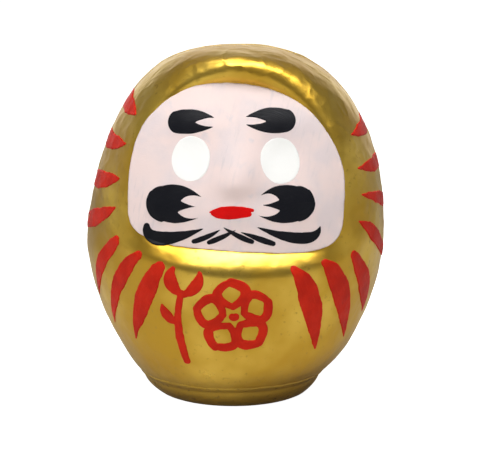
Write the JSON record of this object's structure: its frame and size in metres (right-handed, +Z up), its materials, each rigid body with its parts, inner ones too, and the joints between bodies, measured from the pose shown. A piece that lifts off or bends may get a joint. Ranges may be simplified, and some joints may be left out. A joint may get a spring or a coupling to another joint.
{
  "type": "daruma doll",
  "caption": "Round weighted papier-mache wishing doll: gilded hollow body, sunken painted face with blank eyes, brushed red stripes and a flower on the chest.",
  "frame": {"origin": "centre of the resting face", "axes": "+Z up; the face looks along -Y; +X is on the right of someone looking at the face"},
  "size_m": [0.1366, 0.1254, 0.1603],
  "materials": {
    "gilded_paper": "gold lacquer over pasted paper, half gloss",
    "gilded_strip": "gold lacquer over a soft paper strip",
    "gilded_band": "gold lacquer over a soft paper band, darker with handling",
    "clay": "unglazed low-fired clay",
    "glue": "dried hide glue",
    "bottom_paper": "plain kraft paper",
    "face_paint": "matt chalk-bound paint",
    "eye_white": "matt chalk-bound paint",
    "black_paint": "thick brushed paint, half gloss",
    "lip_paint": "thick brushed paint, half gloss",
    "red_paint": "thick brushed paint, glossy"
  },
  "bodies": {
    "root": {"shell_front": "gilded_paper", "shell_back": "gilded_paper", "seam_strip": "gilded_strip", "base_weight": "clay", "glue_ring": "glue", "base_band": "gilded_band", "bottom_paper": "bottom_paper", "face_coat": "face_paint", "left_eye": "eye_white", "right_eye": "eye_white", "left_brow": "black_paint", "right_brow": "black_paint", "left_cheek_whiskers": "black_paint", "right_cheek_whiskers": "black_paint", "left_moustache": "black_paint", "right_moustache": "black_paint", "left_outer_bristle": "black_paint", "left_inner_bristle": "black_paint", "right_inner_bristle": "black_paint", "right_outer_bristle": "black_paint", "mouth": "lip_paint", "left_hood_stripe_1": "red_paint", "left_hood_stripe_2": "red_paint", "left_hood_stripe_3": "red_paint", "left_hood_stripe_4": "red_paint", "right_hood_stripe_1": "red_paint", "right_hood_stripe_2": "red_paint", "right_hood_stripe_3": "red_paint", "right_hood_stripe_4": "red_paint", "left_chest_stripe_1": "red_paint", "left_chest_stripe_2": "red_paint", "left_chest_stripe_3": "red_paint", "right_chest_stripe_1": "red_paint", "right_chest_stripe_2": "red_paint", "right_chest_stripe_3": "red_paint", "chest_flower": "red_paint", "flower_heart": "red_paint", "chest_sprig": "red_paint"}
  },
  "joints": []
}
